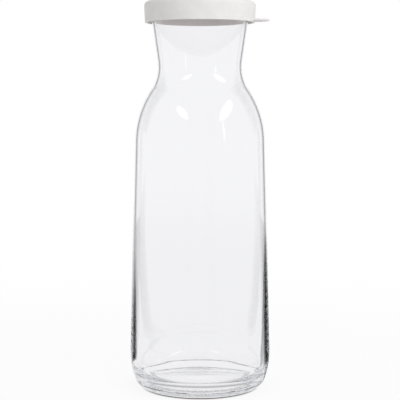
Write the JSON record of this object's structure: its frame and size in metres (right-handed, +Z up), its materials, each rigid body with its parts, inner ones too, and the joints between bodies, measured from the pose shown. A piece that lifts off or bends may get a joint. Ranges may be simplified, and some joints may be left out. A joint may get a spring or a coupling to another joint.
{
  "type": "glass carafe",
  "caption": "Clear glass table carafe with a round shoulder, a flared neck and a press-on white plastic lid with a pull tab, for serving and storing drinks.",
  "frame": {"origin": "the middle of the base, on the plane that the carafe stands on", "axes": "+Z up along the carafe's axis, +X towards the lid's pull tab"},
  "size_m": [0.0942, 0.0942, 0.2583],
  "materials": {
    "clear_glass": "clear, fire-polished",
    "white_plastic": "soft satin, off-white"
  },
  "bodies": {
    "carafe": {"glass_body": "clear_glass"},
    "cap": {"lid": "white_plastic"}
  },
  "joints": [
    {"name": "lid_lift", "type": "slide", "parent": "carafe", "child": "cap", "axis": [0, 0, 1], "range_m": [0, 0.09]}
  ]
}
